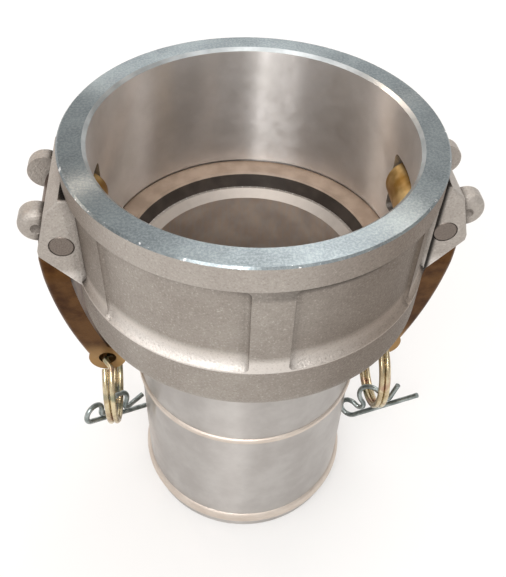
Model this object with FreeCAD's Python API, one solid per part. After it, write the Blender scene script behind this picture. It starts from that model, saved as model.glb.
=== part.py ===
import FreeCAD, Part
import math
import os
from FreeCAD import Vector

# Driving dimensions, millimetres.
# The origin is the centre of the shank's end face, which the coupler stands on; +Z points out of the mouth.
# The two cam arms lie on the +X and -X sides.

# Lengths along the axis
SHANK_LENGTH = 122.0
HEAD_HEIGHT = 85.0
TOP = SHANK_LENGTH + HEAD_HEIGHT

# The hose shank, whose diameter all the others follow, step by step outwards and inwards
SHANK_D = 101.6
SHANK_WALL = 5.8
BEAD_HEIGHT = 1.2
BEAD_WIDTH = 3.2
BEAD_FROM_END = 80.5
END_BEAD_HEIGHT = 1.9
END_BEAD_WIDTH = 7.0
END_BEAD_FROM_END = 9.0
SHANK_END_CHAMFER = 1.2

# Socket and its mouth
BORE_OUTSIDE_SHANK = 9.7
BORE_DEPTH = 56.8
MOUTH_CHAMFER = 1.3
RIM_WALL = 10.3
RIM_HEIGHT = 10.5
RIM_EDGE_CHAMFER = 0.7

# Gasket, its groove and its seat
GASKET_UNDER_BORE = 1.4
GASKET_TAPER = 2.3
GASKET_HEIGHT = 6.3
GASKET_EDGE = 0.9
GROOVE_SIDE_CLEARANCE = 0.5
GROOVE_TOP_CLEARANCE = 1.2
SEAT_LEDGE = 1.2
SEAT_CHAMFER = 3.3
WATERWAY_END_CHAMFER = 1.0

# Cast wall below the rim: sunk panels between the pads and the lands round the ears
PANEL_DEPTH = 2.8
LAND_DEPTH = 1.8
PANEL_HEIGHT = 40.5
PANEL_FOOT_RADIUS = 4.6
PANEL_CORNER_RADIUS = 2.2
PANEL_TOP_RADIUS = 1.0
LAND_HALF_ANGLE = 36.0
PAD_WIDTH = 14.0
SKIRT_DEPTH = 62.5
SKIRT_RADIUS = 9.0
UNDERSIDE_ANGLE = 24.0
UNDERSIDE_LEDGE = 6.0
SHANK_ROOT_RADIUS = 4.0

# Ears that carry the cam arms
PIVOT_OUTSIDE_RIM = 0.8
PIVOT_DEPTH = 31.5
EAR_SPAN = 47.0
SLOT_WIDTH = 25.8
SLOT_ROOF_CLEARANCE = 1.4
SLOT_ROOF_ANGLE = 20.0
SLOT_CORNER_RADIUS = 2.0
EAR_REACH = 9.2
EAR_TOP_REACH = -1.8
EAR_SHOULDER_REACH = 4.0
EAR_SHOULDER_DROP = 5.3
EAR_SHOULDER_RADIUS = 1.5
EAR_BROW = 2.5
EAR_HEEL = 5.0
EAR_HEEL_ANGLE = 49.0
EAR_CORNER_RADIUS = 3.0
EAR_EDGE_RADIUS = 1.0
KNOB_D = 14.2
KNOB_OUT = 8.2
KNOB_UP = 6.2
KNOB_SET_BACK = 3.0
KNOB_EDGE_RADIUS = 3.2
DIMPLE_D = 4.4
DIMPLE_DEPTH = 0.7

# Hinge pins
PIN_D = 9.5
PIN_RUNNING_CLEARANCE = 0.05
PIN_CHAMFER = 0.5
PIN_HOLE_CHAMFER = 0.4

# Cam arms
ARM_SIDE_CLEARANCE = 0.7
HUB_D = 18.8
CAM_D = 20.4
CAM_OFFSET_IN = 4.8
CAM_OFFSET_DOWN = 2.0
SWEEP_CLEARANCE = 1.2
HANDLE_OUT = 12.8
HANDLE_THICKNESS = 10.8
HANDLE_STRAIGHT = 18.5
TAPER_START = 28.0
TAPER_TOP_RADIUS = 30.0
TAPER_END_RADIUS = 10.0
EYE_DOWN = 87.0
EYE_OFF_SHANK = 14.7
EYE_INSET = 7.4
EYE_D = 17.0
EYE_WIDTH = 12.0
EYE_HOLE_D = 8.0
HANDLE_EDGE_RADIUS = 2.0
CAM_EDGE_RADIUS = 1.2

# Pull rings, two turns of round wire side by side
RING_D = 46.0
RING_WIRE = 2.8
RING_TURN_GAP = 0.06
RING_STEP_ANGLE = 16.0
RING_STEP_AT = 62.0
RING_SEAT_GAP = 0.3

# Safety clips, each bent from one wire: eye, straight leg and bowed leg
CLIP_WIRE = 2.6
CLIP_EYE_D = 12.2
CLIP_THROAT_GAP = 0.3
CLIP_NECK_ANGLE = 75.0
CLIP_BEND_RADIUS = 2.5
CLIP_BOW_D = 10.5
CLIP_TAIL_ANGLE = 30.0
CLIP_TAIL = 10.0
CLIP_LEG = 42.0

# How each clip hangs on its ring: its place round the ring from the lowest point, the way its open end
# points in plan, how far that end is lifted, and how far the ring's wire lies above the middle of the bow
LEFT_CLIP_PLACE_ANGLE = -3.0
LEFT_CLIP_HEADING_ANGLE = 46.0
LEFT_CLIP_LIFT_ANGLE = -32.0
LEFT_CLIP_HANG = 0.2
RIGHT_CLIP_PLACE_ANGLE = -15.0
RIGHT_CLIP_HEADING_ANGLE = -36.0
RIGHT_CLIP_LIFT_ANGLE = 40.0
RIGHT_CLIP_HANG = 1.2

AXIS = Vector(0, 0, 1)
ORIGIN = Vector(0, 0, 0)
ACROSS = Vector(0, 1, 0)


def rounded_outline(corners):
    # A closed outline through corners (u, v, radius), with tangent arcs at the rounded ones
    points = [Vector(u, 0, v) for u, v, radius in corners]
    spans = []
    for i, corner in enumerate(points):
        before = (points[i - 1] - corner).normalize()
        after = (points[(i + 1) % len(points)] - corner).normalize()
        radius = corners[i][2]
        half_angle = before.getAngle(after) / 2
        reach = radius / math.tan(half_angle)
        start = corner + before * reach
        end = corner + after * reach
        middle = None
        if radius:
            middle = corner + (before + after).normalize() * (radius / math.sin(half_angle) - radius)
        spans.append((start, middle, end))
    edges = []
    for i, (start, middle, end) in enumerate(spans):
        if middle:
            edges.append(Part.Arc(start, middle, end).toShape())
        following = spans[(i + 1) % len(spans)][0]
        if end.distanceToPoint(following) > 1e-6:
            edges.append(Part.makeLine(end, following))
    return Part.Face(Part.Wire(edges))


def turned(corners, start_angle=0, sweep=360):
    # A solid of revolution about the coupler's axis
    face = rounded_outline(corners).rotated(ORIGIN, AXIS, start_angle)
    return face.revolve(ORIGIN, AXIS, sweep)


def slab(face, width):
    # An outline in the XZ plane given an even width to both sides
    return face.translated(ACROSS * (-width / 2)).extrude(ACROSS * width)


def drum(diameter, length, x, z):
    # A cylinder lying across the coupler
    return Part.makeCylinder(diameter / 2, length, Vector(x, -length / 2, z), ACROSS)


def upright_outline(corners):
    # The same rounded outline drawn in the YZ plane
    return rounded_outline(corners).rotated(ORIGIN, AXIS, 90)


def other_side(shape):
    return shape.rotated(ORIGIN, AXIS, 180)


def edges_near(shape, test):
    return [edge for edge in shape.Edges if test(edge.CenterOfMass)]


# Sizes and places that follow from the driving dimensions
BORE_D = SHANK_D + 2 * BORE_OUTSIDE_SHANK
RIM_D = BORE_D + 2 * RIM_WALL
WATERWAY_D = SHANK_D - 2 * SHANK_WALL
GASKET_D = BORE_D + 2 * GASKET_UNDER_BORE
GASKET_INNER_D = WATERWAY_D + 2 * (SEAT_CHAMFER + SEAT_LEDGE + GASKET_TAPER)
PIVOT_X = RIM_D / 2 + PIVOT_OUTSIDE_RIM
PIVOT_Z = TOP - PIVOT_DEPTH
SEAT_Z = TOP - BORE_DEPTH - GROOVE_TOP_CLEARANCE - GASKET_HEIGHT
WALL_TOP_Z = TOP - RIM_HEIGHT
ARM_WIDTH = SLOT_WIDTH - 2 * ARM_SIDE_CLEARANCE
CAM_REACH = math.hypot(CAM_OFFSET_IN, CAM_OFFSET_DOWN) + CAM_D / 2
SLOT_FLOOR_Z = PIVOT_Z - CAM_REACH - SWEEP_CLEARANCE
SLOT_ROOF_Z = PIVOT_Z + HUB_D / 2 + SLOT_ROOF_CLEARANCE
EYE_X = SHANK_D / 2 + EYE_OFF_SHANK
EYE_Z = PIVOT_Z - EYE_DOWN
BEND_DROP = EYE_DOWN - HANDLE_STRAIGHT
BEND_SAG = PIVOT_X + HANDLE_OUT - EYE_INSET - EYE_X
BEND_RADIUS = (BEND_DROP ** 2 + BEND_SAG ** 2) / (2 * BEND_SAG)
RING_RADIUS = (RING_D - RING_WIRE) / 2
RING_PITCH = RING_WIRE + RING_TURN_GAP
LEFT_CLIP_ANGLES = (LEFT_CLIP_PLACE_ANGLE, LEFT_CLIP_HEADING_ANGLE, LEFT_CLIP_LIFT_ANGLE)
RIGHT_CLIP_ANGLES = (RIGHT_CLIP_PLACE_ANGLE, RIGHT_CLIP_HEADING_ANGLE, RIGHT_CLIP_LIFT_ANGLE)


def bead(height, width, z):
    # Corners of a low rounded bead on the shank, which the outline turns into one tangent arc
    radius = (width ** 2 / 4 + height ** 2) / (2 * height)
    half_angle = math.asin(width / 2 / radius)
    peak = SHANK_D / 2 + width / 2 * math.tan(half_angle)
    return [
        (SHANK_D / 2, z + width / 2, 0),
        (peak, z, radius),
        (SHANK_D / 2, z - width / 2, 0),
    ]


def outer_form():
    # Rim, skirt, its sloping underside and the beaded shank, turned in one
    rim = RIM_D / 2
    shank = SHANK_D / 2
    skirt_z = TOP - SKIRT_DEPTH - SKIRT_RADIUS
    ledge = shank + UNDERSIDE_LEDGE
    ledge_z = skirt_z - (rim - ledge) * math.tan(math.radians(UNDERSIDE_ANGLE))
    return turned([
        (0, TOP, 0),
        (rim - RIM_EDGE_CHAMFER, TOP, 0),
        (rim, TOP - RIM_EDGE_CHAMFER, 0),
        (rim, skirt_z, SKIRT_RADIUS),
        (ledge, ledge_z, SHANK_ROOT_RADIUS),
        (shank, SHANK_LENGTH, SHANK_ROOT_RADIUS),
        *bead(BEAD_HEIGHT, BEAD_WIDTH, BEAD_FROM_END),
        *bead(END_BEAD_HEIGHT, END_BEAD_WIDTH, END_BEAD_FROM_END),
        (shank, SHANK_END_CHAMFER, 0),
        (shank - SHANK_END_CHAMFER, 0, 0),
        (0, 0, 0),
    ])


def sunk_sector(depth, height, start_angle, sweep):
    # What is taken away to sink a panel into the wall, with a hollow foot and rounded ends
    wall = RIM_D / 2 - depth
    outside = RIM_D
    foot_z = WALL_TOP_Z - height
    tool = turned([
        (wall, WALL_TOP_Z, PANEL_TOP_RADIUS),
        (outside, WALL_TOP_Z, 0),
        (outside, foot_z, 0),
        (wall, foot_z, PANEL_FOOT_RADIUS),
    ], start_angle, sweep)
    middle = start_angle + sweep / 2

    def is_end_edge(point):
        angle = math.degrees(math.atan2(point.y, point.x))
        off_middle = abs(math.remainder(angle - middle, 360))
        return abs(off_middle - sweep / 2) < 0.5 and math.hypot(point.x, point.y) < wall + 0.1

    return tool.makeFillet(PANEL_CORNER_RADIUS, edges_near(tool, is_end_edge))


def sunk_wall():
    # The panels beside each pad, and the shallower lands that run out to the ears
    pad_half_angle = math.degrees(math.asin(PAD_WIDTH / RIM_D))
    panel_sweep = 90 - LAND_HALF_ANGLE - pad_half_angle
    cuts = []
    for ear_angle in (0, 180):
        for first in (ear_angle + LAND_HALF_ANGLE, ear_angle - LAND_HALF_ANGLE - panel_sweep):
            cuts.append(sunk_sector(PANEL_DEPTH, PANEL_HEIGHT, first, panel_sweep))
        cuts.append(sunk_sector(LAND_DEPTH, PANEL_HEIGHT, ear_angle - LAND_HALF_ANGLE - 1,
                                2 * LAND_HALF_ANGLE + 2))
    return cuts


def knob(side):
    # Rounded boss at the outer end of one ear, with a shallow dimple in its face
    x = PIVOT_X + KNOB_OUT
    z = PIVOT_Z + KNOB_UP
    outer = EAR_SPAN / 2 - KNOB_SET_BACK
    boss = Part.makeCylinder(KNOB_D / 2, outer - SLOT_WIDTH / 2, Vector(x, SLOT_WIDTH / 2, z), ACROSS)
    boss = boss.makeFillet(KNOB_EDGE_RADIUS, edges_near(boss, lambda p: p.y > outer - 0.01 and abs(p.x - x) < 1))
    radius = (DIMPLE_D ** 2 / 4 + DIMPLE_DEPTH ** 2) / (2 * DIMPLE_DEPTH)
    boss = boss.cut(Part.makeSphere(radius, Vector(x, outer - DIMPLE_DEPTH + radius, z)))
    return boss if side > 0 else boss.mirror(ORIGIN, ACROSS)


def ear_pair():
    # Two ears and the web that roofs the slot between them, on the +X side
    reach = PIVOT_X + EAR_REACH
    root = RIM_D / 2 - SKIRT_RADIUS
    heel_z = PIVOT_Z - EAR_HEEL
    block = slab(rounded_outline([
        (root, WALL_TOP_Z, 0),
        (PIVOT_X + EAR_TOP_REACH, WALL_TOP_Z, 0),
        (PIVOT_X + EAR_SHOULDER_REACH, WALL_TOP_Z - EAR_SHOULDER_DROP, EAR_SHOULDER_RADIUS),
        (reach, PIVOT_Z - EAR_BROW, EAR_CORNER_RADIUS / 3),
        (reach, heel_z, EAR_CORNER_RADIUS / 2),
        (root, heel_z - (reach - root) * math.tan(math.radians(EAR_HEEL_ANGLE)), 0),
    ]), EAR_SPAN)

    def is_outer_edge(point):
        return abs(abs(point.y) - EAR_SPAN / 2) < 0.01 and point.x > root + EAR_EDGE_RADIUS

    block = block.makeFillet(EAR_EDGE_RADIUS, edges_near(block, is_outer_edge))
    for side in (1, -1):
        block = block.fuse(knob(side))
    half_slot = SLOT_WIDTH / 2
    below = SLOT_FLOOR_Z - (reach - root)
    slot = upright_outline([
        (-half_slot, SLOT_ROOF_Z, SLOT_CORNER_RADIUS),
        (half_slot, SLOT_ROOF_Z, SLOT_CORNER_RADIUS),
        (half_slot, below, 0),
        (-half_slot, below, 0),
    ])
    roof_rise = KNOB_D * math.tan(math.radians(SLOT_ROOF_ANGLE))
    rising_roof = slab(rounded_outline([
        (PIVOT_X, SLOT_ROOF_Z, 0),
        (PIVOT_X, SLOT_ROOF_Z - SLOT_CORNER_RADIUS, 0),
        (PIVOT_X + KNOB_D, SLOT_ROOF_Z - SLOT_CORNER_RADIUS, 0),
        (PIVOT_X + KNOB_D, SLOT_ROOF_Z + roof_rise, 0),
    ]), SLOT_WIDTH)
    return block.cut(slot.extrude(Vector(reach + KNOB_D, 0, 0))).cut(rising_roof)


def cam_window():
    # Where the cam reaches through the wall into the socket
    half_slot = SLOT_WIDTH / 2
    window = upright_outline([
        (-half_slot, SLOT_ROOF_Z, SLOT_CORNER_RADIUS),
        (half_slot, SLOT_ROOF_Z, SLOT_CORNER_RADIUS),
        (half_slot, SLOT_FLOOR_Z, SLOT_CORNER_RADIUS),
        (-half_slot, SLOT_FLOOR_Z, SLOT_CORNER_RADIUS),
    ])
    return window.extrude(Vector(RIM_D, 0, 0))


def socket_and_waterway():
    # Everything turned out of the inside: mouth, bore, gasket groove, seat and waterway
    bore = BORE_D / 2
    groove = GASKET_D / 2 + GROOVE_SIDE_CLEARANCE
    waterway = WATERWAY_D / 2
    ledge = waterway + SEAT_CHAMFER
    lip_z = TOP - BORE_DEPTH
    return turned([
        (0, TOP + MOUTH_CHAMFER, 0),
        (bore + 2 * MOUTH_CHAMFER, TOP + MOUTH_CHAMFER, 0),
        (bore, TOP - MOUTH_CHAMFER, 0),
        (bore, lip_z, 0),
        (groove, lip_z, 0),
        (groove, SEAT_Z, 0),
        (ledge, SEAT_Z, 0),
        (waterway, SEAT_Z - SEAT_CHAMFER, 0),
        (waterway, WATERWAY_END_CHAMFER, 0),
        (waterway + 2 * WATERWAY_END_CHAMFER, -WATERWAY_END_CHAMFER, 0),
        (0, -WATERWAY_END_CHAMFER, 0),
    ])


def pin_hole_pair():
    # The drilled hole through both ears of the +X side, with its two mouths broken
    depth = 2 * PIN_HOLE_CHAMFER
    mouth = Part.makeCone(PIN_D / 2 - PIN_HOLE_CHAMFER, PIN_D / 2 + PIN_HOLE_CHAMFER, depth,
                          Vector(PIVOT_X, EAR_SPAN / 2 - PIN_HOLE_CHAMFER, PIVOT_Z), ACROSS)
    return drum(PIN_D, EAR_SPAN + depth, PIVOT_X, PIVOT_Z).fuse([mouth, mouth.mirror(ORIGIN, ACROSS)])


def body():
    # The one-piece casting: socket, ears and beaded hose shank
    solid = outer_form()
    for cut in sunk_wall():
        solid = solid.cut(cut)
    ears = ear_pair()
    solid = solid.fuse(ears).fuse(other_side(ears))
    solid = solid.cut(socket_and_waterway())
    window = cam_window()
    solid = solid.cut(window).cut(other_side(window))
    pin_holes = pin_hole_pair()
    return solid.cut(pin_holes).cut(other_side(pin_holes)).removeSplitter()


def gasket():
    # Flat ring with bevelled top edges and a tapering inner wall, seated in its groove
    top_z = SEAT_Z + GASKET_HEIGHT
    inner = GASKET_INNER_D / 2
    outer = GASKET_D / 2
    return turned([
        (inner, top_z - GASKET_EDGE, 0),
        (inner + GASKET_EDGE, top_z, 0),
        (outer - GASKET_EDGE, top_z, 0),
        (outer, top_z - GASKET_EDGE, 0),
        (outer, SEAT_Z, 0),
        (inner - GASKET_TAPER, SEAT_Z, 0),
    ])


def hinge_pin():
    pin = drum(PIN_D, EAR_SPAN, PIVOT_X, PIVOT_Z)
    return pin.makeChamfer(PIN_CHAMFER, edges_near(pin, lambda p: abs(abs(p.y) - EAR_SPAN / 2) < 0.01))


def handle_outline():
    # Hub shoulder, straight upper part and the long bend inwards down to the eye
    outer = PIVOT_X + HANDLE_OUT
    straight_z = PIVOT_Z - HANDLE_STRAIGHT
    bend = math.asin(BEND_DROP / BEND_RADIUS)

    def along_bend(inset, share):
        radius = BEND_RADIUS - inset
        angle = bend * share
        return Vector(outer - BEND_RADIUS + radius * math.cos(angle), 0, straight_z - radius * math.sin(angle))

    reach = Vector(HANDLE_OUT, 0, -HANDLE_STRAIGHT)
    lean = math.atan2(reach.z, reach.x) + math.acos(HUB_D / 2 / reach.Length)
    hub_side = Vector(PIVOT_X + HUB_D / 2 * math.cos(lean), 0, PIVOT_Z + HUB_D / 2 * math.sin(lean))
    pivot = Vector(PIVOT_X, 0, PIVOT_Z)
    knee = Vector(outer, 0, straight_z)
    inner_knee = Vector(outer - HANDLE_THICKNESS, 0, straight_z)
    inner_top = Vector(outer - HANDLE_THICKNESS, 0, PIVOT_Z)
    edges = [
        Part.makeLine(pivot, hub_side),
        Part.makeLine(hub_side, knee),
        Part.Arc(knee, along_bend(0, 0.5), along_bend(0, 1)).toShape(),
        Part.makeLine(along_bend(0, 1), along_bend(HANDLE_THICKNESS, 1)),
        Part.Arc(along_bend(HANDLE_THICKNESS, 1), along_bend(HANDLE_THICKNESS, 0.5), inner_knee).toShape(),
        Part.makeLine(inner_knee, inner_top),
        Part.makeLine(inner_top, pivot),
    ]
    return Part.Face(Part.Wire(edges))


def long_outer_edges(arm):
    # The two long edges of the handle's outer face, along its bend down to the eye
    centre_x = PIVOT_X + HANDLE_OUT - BEND_RADIUS
    knee_z = PIVOT_Z - HANDLE_STRAIGHT
    found = []
    for edge in arm.Edges:
        point = edge.valueAt((edge.FirstParameter + edge.LastParameter) / 2)
        off_bend = abs(math.hypot(point.x - centre_x, point.z - knee_z) - BEND_RADIUS)
        if off_bend < 0.01 and abs(point.y) > EYE_WIDTH / 2 + HANDLE_EDGE_RADIUS:
            found.append(edge)
    return found


def cam_disc():
    # The eccentric cam, with its two rims rounded where it reaches into the socket
    disc = drum(CAM_D, ARM_WIDTH, PIVOT_X - CAM_OFFSET_IN, PIVOT_Z - CAM_OFFSET_DOWN)
    return disc.makeFillet(CAM_EDGE_RADIUS, edges_near(disc, lambda p: abs(p.y) > ARM_WIDTH / 2 - 0.01))


def cam_arm():
    # Hub with its eccentric cam, tapering handle and the eye for the ring, on the +X side, closed
    arm = slab(handle_outline(), ARM_WIDTH)
    arm = arm.fuse(drum(HUB_D, ARM_WIDTH, PIVOT_X, PIVOT_Z))
    arm = arm.fuse(cam_disc())
    arm = arm.fuse(drum(EYE_D, ARM_WIDTH, EYE_X, EYE_Z)).removeSplitter()
    wide = ARM_WIDTH / 2
    narrow = EYE_WIDTH / 2
    plan = upright_outline([
        (wide, PIVOT_Z + HUB_D, 0),
        (-wide, PIVOT_Z + HUB_D, 0),
        (-wide, PIVOT_Z - TAPER_START, TAPER_TOP_RADIUS),
        (-narrow, EYE_Z, TAPER_END_RADIUS),
        (-narrow, EYE_Z - EYE_D, 0),
        (narrow, EYE_Z - EYE_D, 0),
        (narrow, EYE_Z, TAPER_END_RADIUS),
        (wide, PIVOT_Z - TAPER_START, TAPER_TOP_RADIUS),
    ])
    arm = arm.common(plan.extrude(Vector(2 * PIVOT_X, 0, 0)))
    arm = arm.cut(drum(EYE_HOLE_D, ARM_WIDTH, EYE_X, EYE_Z))
    arm = arm.cut(drum(PIN_D + 2 * PIN_RUNNING_CLEARANCE, ARM_WIDTH + 2, PIVOT_X, PIVOT_Z))
    return arm.makeFillet(HANDLE_EDGE_RADIUS, long_outer_edges(arm))


def wire_section(point, direction, wire_d):
    # The round section of a wire that passes through a point
    return Part.Face(Part.Wire(Part.makeCircle(wire_d / 2, point, direction)))


def ring_centre_z():
    # The ring hangs with both turns just clear of the bottom of the eye's hole, at the eye's two faces
    drop = math.sqrt((EYE_HOLE_D / 2 - RING_SEAT_GAP - RING_WIRE / 2) ** 2 - RING_PITCH ** 2 / 4)
    return EYE_Z - drop - math.sqrt(RING_RADIUS ** 2 - EYE_WIDTH ** 2 / 4)


RING_Z = ring_centre_z()


def pull_ring():
    # Split ring: one flat turn, a step across to the other side, and a second flat turn
    half_pitch = RING_PITCH / 2
    first = math.radians(RING_STEP_AT)
    last = math.radians(RING_STEP_AT + RING_STEP_ANGLE)

    def at(angle, side):
        out = Vector(side * half_pitch, RING_RADIUS * math.cos(angle), RING_RADIUS * math.sin(angle))
        return Vector(EYE_X, 0, RING_Z) + out

    def tangent(angle):
        return Vector(0, -math.sin(angle), math.cos(angle))

    def flat_turn(side):
        section = wire_section(at(last, side), tangent(last), RING_WIRE)
        return section.revolve(Vector(EYE_X, 0, RING_Z), Vector(1, 0, 0), 360 - RING_STEP_ANGLE)

    route = Part.BSplineCurve()
    route.interpolate(
        Points=[at(first, -1), at((first + last) / 2, 0), at(last, 1)],
        InitialTangent=tangent(first),
        FinalTangent=tangent(last),
    )
    start = wire_section(at(first, -1), tangent(first), RING_WIRE)
    crossing = Part.Wire(route.toShape()).makePipeShell([start.OuterWire], True, True)
    return flat_turn(-1).fuse([crossing, flat_turn(1)])


def bent_wire(start, heading, moves, wire_d):
    # Round wire in the XZ plane, made of straight runs and tangent arcs; positive turns go to the left
    runs = []
    point = start
    angle = math.radians(heading)
    for length, radius, turn in moves:
        ahead = Vector(math.cos(angle), 0, math.sin(angle))
        section = wire_section(point, ahead, wire_d)
        if radius:
            left = Vector(-math.sin(angle), 0, math.cos(angle)) * math.copysign(radius, turn)
            centre = point + left
            runs.append(section.revolve(centre, -ACROSS, turn))
            angle += math.radians(turn)
            point = centre + Vector(math.sin(angle), 0, -math.cos(angle)) * math.copysign(radius, turn)
        else:
            runs.append(section.extrude(ahead * length))
            point = point + ahead * length
    return runs[0].fuse(runs[1:])


def safety_clip():
    # Clip in its own frame: eye centred on the origin, straight leg below, bow above, open end towards +X
    eye_radius = (CLIP_EYE_D - CLIP_WIRE) / 2
    bow_radius = (CLIP_BOW_D + CLIP_WIRE) / 2
    bow_z = bow_radius - eye_radius
    throat_z = CLIP_WIRE + CLIP_THROAT_GAP - eye_radius
    side = math.degrees(math.acos((throat_z + CLIP_BEND_RADIUS - bow_z) / (bow_radius + CLIP_BEND_RADIUS)))
    neck = math.radians(CLIP_NECK_ANGLE)
    neck_drop = eye_radius * math.cos(neck) - throat_z - CLIP_BEND_RADIUS * (1 - math.cos(neck))
    wire = bent_wire(Vector(CLIP_LEG, 0, -eye_radius), 180, [
        (CLIP_LEG, 0, 0),
        (0, eye_radius, -180 - CLIP_NECK_ANGLE),
        (neck_drop / math.sin(neck), 0, 0),
        (0, CLIP_BEND_RADIUS, CLIP_NECK_ANGLE + side),
        (0, bow_radius, -2 * side),
        (0, CLIP_BEND_RADIUS, side + CLIP_TAIL_ANGLE),
        (CLIP_TAIL, 0, 0),
    ], CLIP_WIRE)
    bow_x = (eye_radius + CLIP_BEND_RADIUS) * math.sin(neck) + neck_drop / math.tan(neck)
    bow_x += (bow_radius + CLIP_BEND_RADIUS) * math.sin(math.radians(side))
    return wire, Vector(bow_x, 0, bow_z)


def hung_clip(side, place, heading, lift, hang):
    # A clip with its bow round the ring on one side, at its place along the ring's wire
    wire, bow = safety_clip()
    wire = wire.translated(-(bow + Vector(0, 0, hang)))
    wire = wire.rotated(ORIGIN, -ACROSS, lift)
    wire = wire.rotated(ORIGIN, AXIS, heading)
    wire = wire.translated(Vector(0, 0, -RING_RADIUS))
    wire = wire.rotated(ORIGIN, Vector(1, 0, 0), place)
    return wire.translated(Vector(side * EYE_X, 0, RING_Z))


def pieces():
    arm = cam_arm()
    pin = hinge_pin()
    ring = pull_ring()
    return {
        "coupler_body": body(),
        "gasket": gasket(),
        "cam_arm_right": arm,
        "cam_arm_left": other_side(arm),
        "hinge_pin_right": pin,
        "hinge_pin_left": other_side(pin),
        "pull_ring_right": ring,
        "pull_ring_left": other_side(ring),
        "safety_clip_right": hung_clip(1, *RIGHT_CLIP_ANGLES, RIGHT_CLIP_HANG),
        "safety_clip_left": hung_clip(-1, *LEFT_CLIP_ANGLES, LEFT_CLIP_HANG),
    }


def main():
    os.makedirs("parts", exist_ok=True)
    for name, shape in pieces().items():
        shape.exportStep("parts/" + name + ".step")


if __name__ == "__main__":
    main()
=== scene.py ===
import math

import bmesh
import bpy
from mathutils import Euler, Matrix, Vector

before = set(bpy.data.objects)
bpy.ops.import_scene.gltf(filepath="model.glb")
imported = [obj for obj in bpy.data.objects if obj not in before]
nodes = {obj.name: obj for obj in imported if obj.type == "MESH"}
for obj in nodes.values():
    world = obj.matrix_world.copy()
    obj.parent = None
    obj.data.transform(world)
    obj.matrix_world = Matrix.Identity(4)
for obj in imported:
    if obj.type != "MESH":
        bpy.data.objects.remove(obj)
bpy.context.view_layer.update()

MM = 0.001

# Heights and radii of the coupler that its finishes follow, in millimetres.
RIM_TOP = 207.0
RIM_RADIUS = 70.8
RIM_EDGE = 0.9
MOUTH_CHAMFER = 1.3
BORE_RADIUS = 60.5
WALL_TOP = 196.5
LEDGE_HEIGHT = 156.0
EAR_HALF_SPAN = 23.5
EYE_HEIGHT = 88.5
GASKET_TOP_RADIUS = 52.0
SEAT_CHAMFER_FOOT = 139.4
WATERWAY_RADIUS = 45.0
SHANK_LENGTH = 122.0
SHANK_RADIUS = 50.8
SHANK_ROOT_RADIUS = 4.0
BEAD_HEIGHTS = (80.5, 9.0)
BEAD_HALF_WIDTHS = (1.9, 3.8)

# Where the finishes of the body end, in millimetres, each a little beside the edge of its surface.
MOUTH_FOOT = RIM_TOP - MOUTH_CHAMFER
MOUTH_INNER = BORE_RADIUS + 0.1
MOUTH_OUTER = BORE_RADIUS + MOUTH_CHAMFER - 0.1
RIM_FACE_FOOT = RIM_TOP - RIM_EDGE
WATERWAY_LIMIT = WATERWAY_RADIUS + 0.3
WATERWAY_FOOT = 1.2
BORE_LIMIT = BORE_RADIUS + 2.4
BORE_FOOT = SEAT_CHAMFER_FOOT - 1.0
SEAT_LIMIT = BORE_RADIUS - 6.0
SEAT_TOP = SEAT_CHAMFER_FOOT + 4.0
SHANK_TOP = SHANK_LENGTH - SHANK_ROOT_RADIUS + 0.5
BEAD_START = SHANK_RADIUS + 0.02

# Where the casting's painted highlight, shade and shadow lie, in millimetres. A pair is where one fades in,
# from none to its full strength, towards the ledge, the right, the left, the wall or the rim.
EAR_SIDE = EAR_HALF_SPAN + 0.2
EAR_FOOT = LEDGE_HEIGHT - 2.0
EAR_ROOT = RIM_RADIUS + 0.1
INNER_LIMIT = BORE_RADIUS + 3.0
LEDGE_FOOT = LEDGE_HEIGHT - 0.4
BAND_FOOT = WALL_TOP + 0.05
LEDGE_HIGHLIGHT_SPAN = (LEDGE_HEIGHT + 9.0, LEDGE_HEIGHT + 4.0)
SHADE_TO_RIGHT = (-8.0, 48.0)
SHADE_TO_LEFT = (-44.0, -66.0)
SHADE_TO_WALL = (RIM_RADIUS + 5.0, RIM_RADIUS + 0.5)
RIM_SHADOW_TO_RIGHT = (-20.0, 45.0)
RIM_SHADOW_TO_WALL = (RIM_RADIUS + 2.4, RIM_RADIUS + 0.8)
RIM_SHADOW_TO_RIM = (WALL_TOP - 5.5, WALL_TOP - 3.0)
CORNER_REACH = 9.0

# Where the cams are rubbed bare and the handles are worn pale, in millimetres, as pairs too.
RUBBED_CAM = (BORE_RADIUS + 3.0, BORE_RADIUS - 0.5)
HANDLED_END = (EYE_HEIGHT + 14.0, EYE_HEIGHT + 1.0)

# How strongly those places show, where they don't show fully, and the painted shadow's colour.
LEDGE_HIGHLIGHT_STRENGTH = 0.75
BAND_AND_EAR_HIGHLIGHT_STRENGTH = 0.3
LEFT_SHADE_STRENGTH = 0.9
RIM_SHADOW_STRENGTHS = (0.1, 0.95)
HANDLED_END_STRENGTH = 0.85
PAINTED_SHADOW_COLOUR = "#15110E"

# Cloudy noise stays mostly within this span, and a mark fades in along a smooth curve.
CLOUDY = (0.3, 0.7)
SMOOTH = {"interpolation_type": "SMOOTHSTEP"}

# The floor's half size and where it whitens, in millimetres, with how brightly it shows near and far.
FLOOR_HALF_SIZE = 3000.0
GLOW_DISTANCES = (150.0, 1200.0)
GLOW_STRENGTHS = (0.36, 0.6)
SURROUND_STRENGTH = 1.75

# The camera that fits the photograph: place in millimetres, turn in degrees, lens and sensor in millimetres,
# and nearest and farthest distance in millimetres.
CAMERA_PLACE = (-25.76, -222.61, 358.52)
CAMERA_TURN = (43.747, -1.781, -5.247)
CAMERA_LENS = 45.557
CAMERA_SENSOR = 36.0
CAMERA_NEAR = 10.0
CAMERA_FAR = 20000.0


def linear(hex_colour):
    """An sRGB hex colour as the linear colour that a socket takes."""
    parts = [int(hex_colour[i:i + 2], 16) / 255 for i in (1, 3, 5)]
    parts = [p / 12.92 if p <= 0.04045 else ((p + 0.055) / 1.055) ** 2.4 for p in parts]
    return (*parts, 1.0)


def in_metres(span):
    """The two ends of a span in millimetres, in metres."""
    return [end * MM for end in span]


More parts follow.
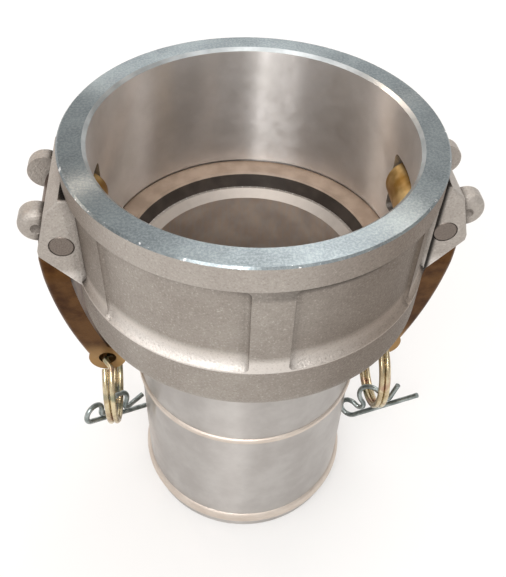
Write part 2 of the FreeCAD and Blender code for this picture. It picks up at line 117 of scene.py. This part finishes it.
def per_mm(size):
    """The scale of a pattern on metre coordinates whose features are this many millimetres apart."""
    return 1.0 / (size * MM)


def put(tree, kind, inputs=(), **settings):
    """Adds one shader node with its settings and its inputs, which come in the node's own order or by name.
    An input is a value, a hex colour, a socket, or a node whose first output it takes."""
    made = tree.nodes.new("ShaderNode" + kind)
    for name, value in settings.items():
        setattr(made, name, value)
    for name, value in inputs.items() if isinstance(inputs, dict) else enumerate(inputs):
        if isinstance(value, str):
            value = linear(value)
        elif isinstance(value, bpy.types.Node):
            value = value.outputs[0]
        if isinstance(value, bpy.types.NodeSocket):
            tree.links.new(value, made.inputs[name])
        else:
            made.inputs[name].default_value = value
    return made


def new_material(name):
    """An empty node material with its tree, and the object coordinates in metres."""
    material = bpy.data.materials.new(name)
    material.use_nodes = True
    tree = material.node_tree
    tree.nodes.clear()
    place = put(tree, "TexCoord").outputs["Object"]
    return material, tree, place


def surfaced(material, shader):
    """The material, finished with its shader."""
    put(material.node_tree, "OutputMaterial", {"Surface": shader})
    return material


def around_axis(tree, place):
    """The distance from the coupler's axis and the height, in metres."""
    parts = put(tree, "SeparateXYZ", (place,)).outputs
    flat = put(tree, "CombineXYZ", (parts[0], parts[1]))
    radius = put(tree, "VectorMath", (flat,), operation="LENGTH").outputs["Value"]
    return radius, parts[2]


def overlap(tree, mask, *others):
    """Several masks multiplied into one, which shows only where all of them do."""
    for other in others:
        mask = put(tree, "Math", (mask, other), operation="MULTIPLY")
    return mask


def coats(tree, colour, *layers):
    """A first colour under others, each laid on as strongly as its mask says."""
    for mask, layer in layers:
        colour = put(tree, "Mix", {0: mask, 6: colour, 7: layer}, data_type="RGBA").outputs[2]
    return colour


# Coupler body as cast: sand-cast aluminium, blasted with fine grit. It looks warm grey, even and grainy, with
# small painted glints. The grit is drawn twice its real size, so that it shows. The ledges under the panels
# carry a painted highlight, and the band below the rim and the ears a paler painted highlight.
# Painted shade darkens the wall towards both arms, most on the right, and its corners; painted shadow lies
# darkest in the corners towards the arms and under the rim, most on the right.
def blasted_aluminium():
    material, tree, place = new_material("grit_blasted_cast_aluminium")
    radius, height = around_axis(tree, place)
    rightward, backward, _ = put(tree, "SeparateXYZ", (place,)).outputs
    grit = put(tree, "TexNoise", {"Vector": place, "Scale": per_mm(0.8), "Detail": 4.0, "Roughness": 0.7})
    stain = put(tree, "TexNoise", {"Vector": place, "Scale": per_mm(22.0), "Detail": 4.0, "Roughness": 0.6})
    dents = put(tree, "TexVoronoi", {"Vector": place, "Scale": per_mm(1.1)})
    corner = put(tree, "AmbientOcclusion", {"Distance": CORNER_REACH * MM}, samples=8, only_local=True)
    corner = corner.outputs["AO"]

    # The ears, and the outside of the casting.
    sideways = put(tree, "Math", (backward,), operation="ABSOLUTE")
    on_ear = overlap(
        tree,
        put(tree, "Math", (sideways, EAR_SIDE * MM), operation="LESS_THAN"),
        put(tree, "Math", (height, EAR_FOOT * MM), operation="GREATER_THAN"),
        put(tree, "Math", (height, WALL_TOP * MM), operation="LESS_THAN"),
    )
    off_ear = put(tree, "Math", (1.0, on_ear), operation="SUBTRACT")
    outside = put(tree, "Math", (radius, INNER_LIMIT * MM), operation="GREATER_THAN")

    # The cast skin's own marks with its painted glints, and the painted highlight on the ledges, band and
    # ears.
    pale_patch = put(tree, "MapRange", (stain, 0.30, 0.72), **SMOOTH)
    hollow = put(tree, "MapRange", (grit, 0.46, 0.30, 0.0, 0.3), **SMOOTH)
    painted_glint = put(tree, "MapRange", (grit, 0.56, 0.72, 0.0, 0.8), **SMOOTH)
    painted_ledge_highlight = overlap(
        tree,
        put(tree, "Math", (height, LEDGE_FOOT * MM), operation="GREATER_THAN"),
        put(tree, "MapRange", (height, *in_metres(LEDGE_HIGHLIGHT_SPAN)), **SMOOTH),
        outside,
        LEDGE_HIGHLIGHT_STRENGTH,
    )
    on_band = put(tree, "Math", (height, WALL_TOP * MM), operation="GREATER_THAN")
    lightened = put(tree, "Math", (on_band, on_ear), operation="MAXIMUM")
    colour = coats(
        tree,
        "#9D958D",
        (pale_patch, "#AAA39B"),
        (painted_ledge_highlight, "#EFE9E3"),
        (overlap(tree, lightened, BAND_AND_EAR_HIGHLIGHT_STRENGTH), "#CFC8C1"),
        (hollow, "#7E756D"),
        (painted_glint, "#CBC4BC"),
    )

    # Painted shade on the wall and in its corners, and painted shadow in the corners and under the rim.
    painted_right_shade = put(tree, "MapRange", (rightward, *in_metres(SHADE_TO_RIGHT)), **SMOOTH)
    painted_left_shade = put(
        tree, "MapRange", (rightward, *in_metres(SHADE_TO_LEFT), 0.0, LEFT_SHADE_STRENGTH), **SMOOTH)
    both_sides = put(tree, "Math", (painted_right_shade, painted_left_shade), operation="ADD")
    on_wall = put(tree, "MapRange", (radius, *in_metres(SHADE_TO_WALL)), **SMOOTH)
    painted_side_shade = overlap(tree, both_sides, on_wall, off_ear)
    painted_corner_shade = put(tree, "MapRange", (corner, 0.93, 0.45), **SMOOTH)
    painted_corner_shadow = overlap(tree, put(tree, "MapRange", (corner, 0.86, 0.60), **SMOOTH), painted_side_shade)
    under_rim = put(tree, "MapRange", (height, *in_metres(RIM_SHADOW_TO_RIM)), **SMOOTH)
    ear_root = put(tree, "Math", (radius, EAR_ROOT * MM), operation="GREATER_THAN")
    painted_rim_shadow = overlap(
        tree,
        put(tree, "Math", (under_rim, ear_root), operation="MAXIMUM"),
        put(tree, "Math", (height, BAND_FOOT * MM), operation="LESS_THAN"),
        outside,
        put(tree, "MapRange", (radius, *in_metres(RIM_SHADOW_TO_WALL)), **SMOOTH),
        put(tree, "MapRange", (rightward, *in_metres(RIM_SHADOW_TO_RIGHT), *RIM_SHADOW_STRENGTHS), **SMOOTH),
    )
    shade_mix = {0: painted_side_shade, 6: colour, 7: "#B4ABA3"}
    colour = coats(
        tree,
        put(tree, "Mix", shade_mix, data_type="RGBA", blend_type="MULTIPLY").outputs[2],
        (painted_corner_shade, "#4A423B"),
        (painted_corner_shadow, PAINTED_SHADOW_COLOUR),
        (painted_rim_shadow, PAINTED_SHADOW_COLOUR),
    )

    shallow_dents = overlap(tree, dents, 0.5)
    relief = put(tree, "Math", (grit, shallow_dents), operation="ADD")
    return surfaced(material, put(tree, "BsdfPrincipled", {
        "Base Color": colour,
        "Metallic": 1.0,
        "Roughness": put(tree, "MapRange", (grit, *CLOUDY, 0.64, 0.46), **SMOOTH),
        "Normal": put(tree, "Bump", {"Strength": 1.0, "Distance": 0.25 * MM, "Height": relief}),
    }))


# Waterway: the cored hole as it came from the mould, dull and grey-brown. Its fine grain stands upright, four
# times as tall as it is wide.
def cored_aluminium():
    material, tree, place = new_material("cored_as_cast_aluminium")
    upright = put(tree, "Mapping", {"Vector": place, "Scale": (1.0, 1.0, 0.25)})
    flow = put(tree, "TexNoise", {"Vector": upright, "Scale": per_mm(1.6), "Detail": 3.0, "Roughness": 0.6})
    stain = put(tree, "TexNoise", {"Vector": place, "Scale": per_mm(14.0), "Detail": 3.0})
    colour = coats(tree, "#A0958C", (put(tree, "MapRange", (stain, *CLOUDY), **SMOOTH), "#B4A89E"))
    streaks = {0: put(tree, "MapRange", (flow, 0.35, 0.65), **SMOOTH), 6: colour, 7: "#C4B9B0"}
    return surfaced(material, put(tree, "BsdfPrincipled", {
        "Base Color": put(tree, "Mix", streaks, data_type="RGBA", blend_type="SOFT_LIGHT").outputs[2],
        "Metallic": 0.35,
        "Roughness": 0.7,
        "Normal": put(tree, "Bump", {"Strength": 0.6, "Distance": 0.2 * MM, "Height": flow}),
    }))


# Turned aluminium: cut on a lathe in fine rings, which spread the light across them and leave the streaks
# narrow along them. The rings are drawn about twice as far apart as real ones, so that they show. Handling
# has left dull clouds and small pale scuffs. A faced surface is flat, with its rings side by side, fine pale
# specks and small nicks on its edge; on the others the rings lie one above the other.
def turned_aluminium(name, dark, light, roughness, scuffed, faced=False):
    material, tree, place = new_material(name)
    radius, height = around_axis(tree, place)
    across = radius if faced else height
    ring_inputs = {"W": across, "Scale": per_mm(0.35), "Detail": 2.0, "Roughness": 0.6}
    rings = put(tree, "TexNoise", ring_inputs, noise_dimensions="1D")
    cloud = put(tree, "TexNoise", {"Vector": place, "Scale": per_mm(16.0), "Detail": 4.0, "Roughness": 0.6})
    smear = put(tree, "TexNoise", {"Vector": place, "Scale": per_mm(5.0), "Detail": 5.0, "Roughness": 0.7})
    fleck = put(tree, "TexNoise", {"Vector": place, "Scale": per_mm(1.6), "Detail": 4.0, "Roughness": 0.75})
    dull_cloud = put(tree, "MapRange", (smear, 0.5, 0.75, 0.0, 0.3), **SMOOTH)
    scuff = put(tree, "MapRange", (fleck, 0.66, 0.74), **SMOOTH)
    colour = coats(
        tree,
        dark,
        (put(tree, "MapRange", (cloud, *CLOUDY), **SMOOTH), light),
        (dull_cloud, dark),
        (overlap(tree, scuff, scuffed), "#F2F2F0"),
    )
    if faced:
        fine = put(tree, "TexNoise", {"Vector": place, "Scale": per_mm(0.9), "Detail": 3.0, "Roughness": 0.7})
        chip = put(tree, "TexNoise", {"Vector": place, "Scale": per_mm(2.0), "Detail": 3.0, "Roughness": 0.6})
        speck = put(tree, "MapRange", (fine, 0.40, 0.62, 0.0, 0.3), **SMOOTH)
        on_edge = put(tree, "Math", (radius, (RIM_RADIUS - RIM_EDGE) * MM), operation="GREATER_THAN")
        nick = overlap(tree, put(tree, "MapRange", (chip, 0.64, 0.67), **SMOOTH), on_edge)
        colour = coats(tree, colour, (speck, "#C6CCCC"), (nick, "#FFFFFF"))
    return surfaced(material, put(tree, "BsdfPrincipled", {
        "Base Color": colour,
        "Metallic": 1.0,
        "Roughness": put(tree, "MapRange", (smear, *CLOUDY, roughness - 0.02, roughness + 0.03), **SMOOTH),
        "Anisotropic": 1.0,
        "Anisotropic Rotation": 0.25,
        "Tangent": put(tree, "Tangent", direction_type="RADIAL", axis="Z"),
        "Normal": put(tree, "Bump", {"Strength": 0.5, "Distance": 0.008 * MM, "Height": rings}),
    }))


# Beads, seat and the mouth's chamfer: turned with a round tool and rubbed by use, so they shine evenly
# instead of in streaks.
def rubbed_aluminium(name, dark, light, roughness):
    material, tree, place = new_material(name)
    cloud = put(tree, "TexNoise", {"Vector": place, "Scale": per_mm(9.0), "Detail": 3.0, "Roughness": 0.6})
    return surfaced(material, put(tree, "BsdfPrincipled", {
        "Base Color": coats(tree, dark, (put(tree, "MapRange", (cloud, *CLOUDY), **SMOOTH), light)),
        "Metallic": 1.0,
        "Roughness": put(tree, "MapRange", (cloud, *CLOUDY, roughness - 0.03, roughness + 0.05), **SMOOTH),
    }))


# Gasket: moulded nitrile rubber. Its top is tan and slightly glossy; its inner wall is darker, a painted
# shade.
# The fine dust on it is drawn coarser than it is, so that it shows.
def gasket_rubber(name, dark, light, roughness):
    material, tree, place = new_material(name)
    cloud = put(tree, "TexNoise", {"Vector": place, "Scale": per_mm(7.0), "Detail": 3.0})
    dust = put(tree, "TexNoise", {"Vector": place, "Scale": per_mm(0.6), "Detail": 2.0})
    return surfaced(material, put(tree, "BsdfPrincipled", {
        "Base Color": coats(tree, dark, (put(tree, "MapRange", (cloud, *CLOUDY), **SMOOTH), light)),
        "Roughness": put(tree, "MapRange", (dust, *CLOUDY, roughness - 0.06, roughness + 0.06), **SMOOTH),
        "Normal": put(tree, "Bump", {"Strength": 0.3, "Distance": 0.05 * MM, "Height": dust}),
    }))


# Cam arms: sand-cast brass, tumbled, with a cloudy brown patina and a sandy grain, drawn about twice its real
# size. The cams are rubbed to bare gold in the bore, and the handles' ends are worn pale by hands.
def cast_brass():
    material, tree, place = new_material("cast_tumbled_brass")
    radius, height = around_axis(tree, place)
    cloud = put(tree, "TexNoise", {"Vector": place, "Scale": per_mm(12.0), "Detail": 4.0, "Roughness": 0.6})
    wear = put(tree, "TexNoise", {"Vector": place, "Scale": per_mm(9.0), "Detail": 2.0})
    sand = put(tree, "TexNoise", {"Vector": place, "Scale": per_mm(0.7), "Detail": 3.0, "Roughness": 0.6})
    bare_brass = coats(tree, "#A9803F", (put(tree, "MapRange", (wear, 0.36, 0.64), **SMOOTH), "#E6C68A"))
    light_patina = put(tree, "MapRange", (cloud, 0.32, 0.66), **SMOOTH)
    rubbed = put(tree, "MapRange", (radius, *in_metres(RUBBED_CAM)), **SMOOTH)
    lightened = put(tree, "MapRange", (height, *in_metres(HANDLED_END), 0.0, HANDLED_END_STRENGTH), **SMOOTH)
    colour = coats(tree, "#402612", (light_patina, "#604224"), (rubbed, bare_brass), (lightened, "#A58459"))
    return surfaced(material, put(tree, "BsdfPrincipled", {
        "Base Color": colour,
        "Metallic": 1.0,
        "Roughness": put(tree, "MapRange", (cloud, *CLOUDY, 0.42, 0.34), **SMOOTH),
        "Normal": put(tree, "Bump", {"Strength": 0.5, "Distance": 0.12 * MM, "Height": sand}),
    }))


# Hinge pins: drawn steel rod, cut and left dull, so the sawn ends look darker than the casting.
def pin_steel():
    material, tree, place = new_material("drawn_dull_steel")
    saw = put(tree, "TexNoise", {"Vector": place, "Scale": per_mm(0.5), "Detail": 2.0})
    return surfaced(material, put(tree, "BsdfPrincipled", {
        "Base Color": coats(tree, "#6E655E", (put(tree, "MapRange", (saw, *CLOUDY), **SMOOTH), "#857B73")),
        "Metallic": 1.0,
        "Roughness": 0.46,
        "Normal": put(tree, "Bump", {"Strength": 0.4, "Distance": 0.05 * MM, "Height": saw}),
    }))


# Pull rings: spring wire with yellow chromate zinc plating, which shifts between gold, green and pink.
def yellow_zinc():
    material, tree, place = new_material("yellow_chromate_zinc_wire")
    cloud = put(tree, "TexNoise", {"Vector": place, "Scale": per_mm(5.0), "Detail": 2.0})
    shift = put(tree, "TexNoise", {"Vector": place, "Scale": per_mm(9.0), "Detail": 1.0})
    bright = put(tree, "MapRange", (cloud, 0.35, 0.65), **SMOOTH)
    green = put(tree, "MapRange", (shift, 0.56, 0.72), **SMOOTH)
    pink = put(tree, "MapRange", (shift, 0.44, 0.30), **SMOOTH)
    colour = coats(tree, "#B3A080", (bright, "#D8CAA8"), (green, "#90917A"), (pink, "#B3957F"))
    return surfaced(material, put(tree, "BsdfPrincipled", {
        "Base Color": colour,
        "Metallic": 1.0,
        "Roughness": put(tree, "MapRange", (cloud, *CLOUDY, 0.30, 0.22), **SMOOTH),
    }))


# Safety clips: spring wire with clear blue chromate zinc plating, cool grey and fairly bright.
def blue_zinc():
    material, tree, place = new_material("blue_chromate_zinc_wire")
    cloud = put(tree, "TexNoise", {"Vector": place, "Scale": per_mm(4.0), "Detail": 3.0})
    bright = put(tree, "MapRange", (cloud, 0.35, 0.65), **SMOOTH)
    return surfaced(material, put(tree, "BsdfPrincipled", {
        "Base Color": coats(tree, "#7E8684", (bright, "#A9B0AE")),
        "Metallic": 1.0,
        "Roughness": put(tree, "MapRange", (cloud, *CLOUDY, 0.36, 0.26), **SMOOTH),
    }))


# Floor: a pale painted studio sheet, matt. It is white to the camera, in the metal and through glass, but for
# the object's shadow, and whitens further away from the object, so that no far edge shows.
def pale_floor():
    material, tree, place = new_material("pale_studio_sheet")
    distance, _ = around_axis(tree, place)
    whitening = put(tree, "MapRange", (distance, *in_metres(GLOW_DISTANCES), *GLOW_STRENGTHS), **SMOOTH)
    path = put(tree, "LightPath").outputs
    seen = put(tree, "Math", (path["Is Camera Ray"], path["Is Glossy Ray"]), operation="MAXIMUM")
    seen = put(tree, "Math", (seen, path["Is Transmission Ray"]), operation="MAXIMUM")
    sheet = put(tree, "BsdfDiffuse", {"Color": "#C4C2C0"})
    glow = put(tree, "Emission", {"Color": "#FFFFFF", "Strength": overlap(tree, seen, whitening)})
    return surfaced(material, put(tree, "AddShader", (sheet, glow)))


def dress(node, *finishes):
    """Gives each face of a node the first finish whose test its middle passes, by its distance from the axis
    and its height in millimetres. The last finish takes the rest."""
    mesh = nodes[node].data
    mesh.materials.clear()
    for finish, _ in finishes:
        mesh.materials.append(finish)
    for face in mesh.polygons:
        radius = math.hypot(face.center.x, face.center.y) / MM
        height = face.center.z / MM
        face.material_index = next(i for i, (_, test) in enumerate(finishes) if test(radius, height))


def everywhere(radius, height):
    return True


def on_mouth_chamfer(radius, height):
    return height > MOUTH_FOOT and MOUTH_INNER < radius < MOUTH_OUTER


def on_rim_face(radius, height):
    return height > RIM_FACE_FOOT and radius > BORE_RADIUS


def in_waterway(radius, height):
    return radius < WATERWAY_LIMIT and WATERWAY_FOOT < height < SEAT_CHAMFER_FOOT


def on_seat(radius, height):
    return radius < SEAT_LIMIT and BORE_FOOT < height < SEAT_TOP


def in_bore(radius, height):
    return radius < BORE_LIMIT and height > BORE_FOOT


def on_bead(radius, height):
    beads = zip(BEAD_HEIGHTS, BEAD_HALF_WIDTHS)
    return radius > BEAD_START and any(abs(height - middle) < half for middle, half in beads)


def on_shank(radius, height):
    return height < SHANK_TOP


def on_gasket_wall(radius, height):
    return radius < GASKET_TOP_RADIUS


mouth = rubbed_aluminium("rubbed_mouth_aluminium", "#B0B4B4", "#C8CBCB", roughness=0.34)
rim = turned_aluminium(
    "turned_rim_face_aluminium", "#7F878A", "#959D9F", roughness=0.32, scuffed=0.5, faced=True)
waterway = cored_aluminium()
seat = rubbed_aluminium("rubbed_seat_aluminium", "#B6ADA5", "#C3BBB3", roughness=0.62)
bore = turned_aluminium("turned_bore_aluminium", "#DEDAD6", "#EAE6E3", roughness=0.33, scuffed=0.2)
# The beads are paler and warmer than the shank, a painted highlight of the warm light along them.
beads = rubbed_aluminium("rubbed_bead_aluminium", "#CFC2B6", "#D8CDC2", roughness=0.46)
shank = turned_aluminium("turned_shank_aluminium", "#B4AFAB", "#C2BEBA", roughness=0.33, scuffed=0.1)
casting = blasted_aluminium()
dress(
    "coupler_body",
    (mouth, on_mouth_chamfer),
    (rim, on_rim_face),
    (waterway, in_waterway),
    (seat, on_seat),
    (bore, in_bore),
    (beads, on_bead),
    (shank, on_shank),
    (casting, everywhere),
)
# The darker copy of the rubber on the gasket's inner wall is painted shade.
shaded_rubber = gasket_rubber("painted_shade_rubber", "#2F2823", "#3F3731", roughness=0.36)
tan_rubber = gasket_rubber("moulded_tan_rubber", "#8F7B6A", "#A28D7B", roughness=0.45)
dress("gasket", (shaded_rubber, on_gasket_wall), (tan_rubber, everywhere))
brass = cast_brass()
steel = pin_steel()
ring_finish = yellow_zinc()
clip_finish = blue_zinc()
for side in ("right", "left"):
    dress("cam_arm_" + side, (brass, everywhere))
    dress("hinge_pin_" + side, (steel, everywhere))
    dress("pull_ring_" + side, (ring_finish, everywhere))
    dress("safety_clip_" + side, (clip_finish, everywhere))


def make_floor():
    """A wide flat sheet under the hose end."""
    sheet = bmesh.new()
    bmesh.ops.create_grid(sheet, x_segments=1, y_segments=1, size=FLOOR_HALF_SIZE * MM)
    mesh = bpy.data.meshes.new("floor")
    sheet.to_mesh(mesh)
    sheet.free()
    floor = bpy.data.objects.new("floor", mesh)
    bpy.context.scene.collection.objects.link(floor)
    mesh.materials.append(pale_floor())


def make_lamp(name, place, aim, size, power, colour="#FFFFFF"):
    """A square soft lamp at a place, pointed at another. Places and size in millimetres, power in watts."""
    light = bpy.data.lights.new(name, "AREA")
    light.shape = "SQUARE"
    light.size = size * MM
    light.energy = power
    light.color = linear(colour)[:3]
    lamp = bpy.data.objects.new(name, light)
    lamp.location = Vector(place) * MM
    lamp.rotation_euler = (Vector(aim) - Vector(place)).to_track_quat("-Z", "Y").to_euler()
    bpy.context.scene.collection.objects.link(lamp)


def make_world():
    """A soft grey surround, lighter overhead, darker on the right and behind on the left. It is white at the
    horizon, where it meets the floor's far edge."""
    world = bpy.data.worlds.new("surround")
    bpy.context.scene.world = world
    world.use_nodes = True
    tree = world.node_tree
    tree.nodes.clear()
    direction = put(tree, "TexCoord").outputs["Generated"]
    rightward, backward, upward = put(tree, "SeparateXYZ", (direction,)).outputs
    back_left = put(tree, "Math", (overlap(tree, backward, 0.8), rightward), operation="SUBTRACT")
    overhead = put(tree, "MapRange", (upward, 0.0, 0.9), **SMOOTH)
    dark_right = put(tree, "MapRange", (rightward, 0.2, 0.9, 0.0, 0.8), **SMOOTH)
    dark_back_left = put(tree, "MapRange", (back_left, 0.45, 0.9, 0.0, 0.6), **SMOOTH)
    horizon = put(tree, "MapRange", (upward, 0.30, 0.14), **SMOOTH)
    shade = coats(
        tree,
        "#8A8682",
        (overhead, "#E0E0E0"),
        (dark_right, "#3E3B39"),
        (dark_back_left, "#4A4846"),
        (horizon, "#C9C9C9"),
    )
    back = put(tree, "Background", {"Color": shade, "Strength": SURROUND_STRENGTH})
    put(tree, "OutputWorld", {"Surface": back})


def make_camera():
    """The photograph's view."""
    data = bpy.data.cameras.new("photo_camera")
    data.sensor_width = CAMERA_SENSOR
    data.lens = CAMERA_LENS
    data.clip_start = CAMERA_NEAR * MM
    data.clip_end = CAMERA_FAR * MM
    camera = bpy.data.objects.new("photo_camera", data)
    camera.location = Vector(CAMERA_PLACE) * MM
    camera.rotation_euler = Euler([math.radians(angle) for angle in CAMERA_TURN], "XYZ")
    bpy.context.scene.collection.objects.link(camera)
    bpy.context.scene.camera = camera


make_floor()

# The flash beside the camera and the soft panel light the front. The three lamps behind draw the streaks of
# light on the turned surfaces and the bright far edge of the mouth.
make_lamp("flash_lamp", (-65, -310, 430), aim=(0, 0, 150), size=10, power=0.20)
make_lamp("soft_panel", (-150, -350, 550), aim=(0, 0, 150), size=260, power=1.15)
make_lamp("window_lamp", (230, 330, 990), aim=(0, 0, 190), size=400, power=1.6)
make_lamp("high_right_lamp", (495, 355, 900), aim=(0, 0, 190), size=190, power=0.75, colour="#FFF4E8")
make_lamp("back_left_lamp", (-460, 310, 600), aim=(0, 0, 170), size=90, power=0.65, colour="#FFE9D6")
make_world()
make_camera()

scene = bpy.context.scene
scene.view_settings.view_transform = "Standard"
